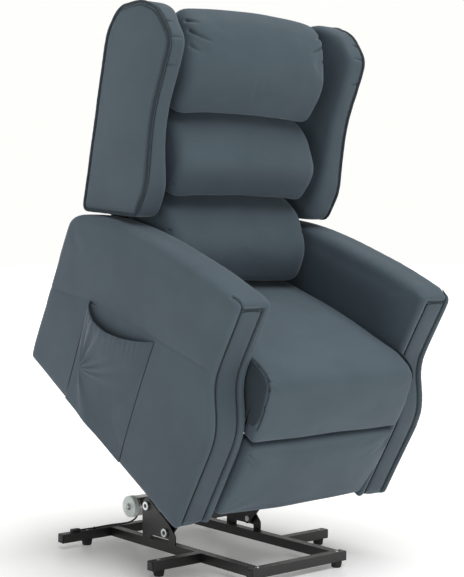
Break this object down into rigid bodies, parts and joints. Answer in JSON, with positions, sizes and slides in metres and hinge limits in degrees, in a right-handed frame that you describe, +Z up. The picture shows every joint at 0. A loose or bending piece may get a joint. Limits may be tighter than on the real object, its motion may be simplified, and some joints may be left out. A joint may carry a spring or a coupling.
{
  "type": "lift recliner chair",
  "caption": "Upholstered lift recliner shown raised and tipped forward on a black steel lift base, with wings, stacked back pillows, a fold-out footrest and a side pocket.",
  "frame": {"origin": "centre of the chair's box on the floor, in the raised position", "axes": "+Z up, the sitter faces -Y, +X to the sitter's left"},
  "size_m": [0.7563, 0.8876, 1.4703],
  "materials": {
    "upholstery": "matte blue-grey woven microfibre with a soft sheen",
    "upholstery_panel": "the same cloth, on the arm fronts and the side pocket",
    "black_steel": "satin black powder coat on steel tube and plate",
    "rubber_foot": "matte black moulded rubber",
    "zinc": "bright zinc plate",
    "black_plastic": "black moulded plastic",
    "grey_steel": "grey zinc plated steel",
    "plywood": "raw plywood",
    "spring_wire": "bare spring wire"
  },
  "bodies": {
    "base": {"rear_bar": "black_steel", "front_bar": "black_steel", "base_rail_right": "black_steel", "base_rail_left": "black_steel", "foot_rear_right": "rubber_foot", "foot_rear_left": "rubber_foot", "foot_side_right": "rubber_foot", "foot_side_left": "rubber_foot", "foot_front_right": "rubber_foot", "foot_front_left": "rubber_foot", "pivot_bracket_right": "black_steel", "pivot_bracket_left": "black_steel", "rear_pivot_bolt_right": "zinc", "rear_pivot_bolt_left": "zinc", "front_pivot_bolt_right": "zinc", "front_pivot_bolt_left": "zinc", "motor_lead": "black_plastic", "lead_connector": "black_plastic"},
    "front_links": {"front_link_frame": "black_steel"},
    "lift_motor": {"motor_gearbox": "black_plastic", "motor_can": "grey_steel", "motor_end_cap": "zinc", "actuator_tube": "grey_steel"},
    "lift_rod": {"lift_rod": "zinc"},
    "seat": {"lift_rail_right": "black_steel", "lift_rail_left": "black_steel", "rear_cross_member": "black_steel", "actuator_beam": "black_steel", "seat_side_board_right": "plywood", "seat_side_board_left": "plywood", "seat_front_rail": "plywood", "seat_rear_rail": "plywood", "seat_spring_1": "spring_wire", "seat_spring_2": "spring_wire", "seat_spring_3": "spring_wire", "seat_cushion": "upholstery", "arm_right": "upholstery", "arm_left": "upholstery", "arm_board_right": "plywood", "arm_board_left": "plywood", "arm_front_panel_right": "upholstery_panel", "arm_front_panel_left": "upholstery_panel", "side_pocket": "upholstery_panel", "rear_skirt": "upholstery"},
    "backrest": {"back_panel": "upholstery", "back_frame": "plywood", "back_hinge_bracket_right": "grey_steel", "back_hinge_bracket_left": "grey_steel", "wing_right": "upholstery", "wing_left": "upholstery", "pillow_head": "upholstery", "pillow_middle": "upholstery", "pillow_lumbar": "upholstery"},
    "footrest_inner_links": {"footrest_inner_links": "grey_steel"},
    "footrest_outer_links": {"footrest_outer_links": "grey_steel"},
    "footrest": {"footrest_pad": "upholstery", "footrest_tab_right": "grey_steel", "footrest_tab_left": "grey_steel"},
    "rear_links": {"rear_link_right": "black_steel", "rear_link_left": "black_steel"}
  },
  "joints": [
    {"name": "lift", "type": "hinge", "parent": "base", "child": "front_links", "pos_m": [0, 0.1085, 0.0701], "axis": [1, 0, 0], "range_deg": [0, 39.27]},
    {"name": "chair_tilt", "type": "hinge", "parent": "front_links", "child": "seat", "pos_m": [0, -0.10138, 0.30427], "axis": [-1, 0, 0], "range_deg": [0, 69.32]},
    {"name": "rear_link_pivot", "type": "hinge", "parent": "base", "child": "rear_links", "pos_m": [0, 0.193, 0.131], "axis": [1, 0, 0], "range_deg": [0, 39.95]},
    {"name": "motor_pivot", "type": "hinge", "parent": "base", "child": "lift_motor", "pos_m": [0, 0.345, 0.1], "axis": [1, 0, 0], "range_deg": [0, 25.65]},
    {"name": "rod_slide", "type": "slide", "parent": "lift_motor", "child": "lift_rod", "axis": [0, 0.6963, -0.7178], "range_m": [0, 0.1226]},
    {"name": "recline", "type": "hinge", "parent": "seat", "child": "backrest", "pos_m": [0, 0.24692, 0.66421], "axis": [-1, 0, 0], "range_deg": [0, 35]},
    {"name": "footrest", "type": "hinge", "parent": "seat", "child": "footrest_inner_links", "pos_m": [0, -0.14493, 0.43289], "axis": [-1, 0, 0], "range_deg": [0, 60.4]},
    {"name": "footrest_knee", "type": "hinge", "parent": "footrest_inner_links", "child": "footrest_outer_links", "pos_m": [0, -0.13342, 0.28296], "axis": [1, 0, 0], "range_deg": [0, 85]},
    {"name": "footrest_pad_turn", "type": "hinge", "parent": "footrest_outer_links", "child": "footrest", "pos_m": [0, -0.28703, 0.37903], "axis": [-1, 0, 0], "range_deg": [0, 114.6]}
  ],
  "couplings": [
    {"joint": "chair_tilt", "follows": "lift", "ratio": 1.7639},
    {"joint": "rear_link_pivot", "follows": "lift", "ratio": 1.0161},
    {"joint": "motor_pivot", "follows": "lift", "ratio": 0.65186},
    {"joint": "rod_slide", "follows": "lift", "m_per_rad": 0.17859},
    {"joint": "footrest_knee", "follows": "footrest", "ratio": 1.404},
    {"joint": "footrest_pad_turn", "follows": "footrest", "ratio": 1.894}
  ]
}
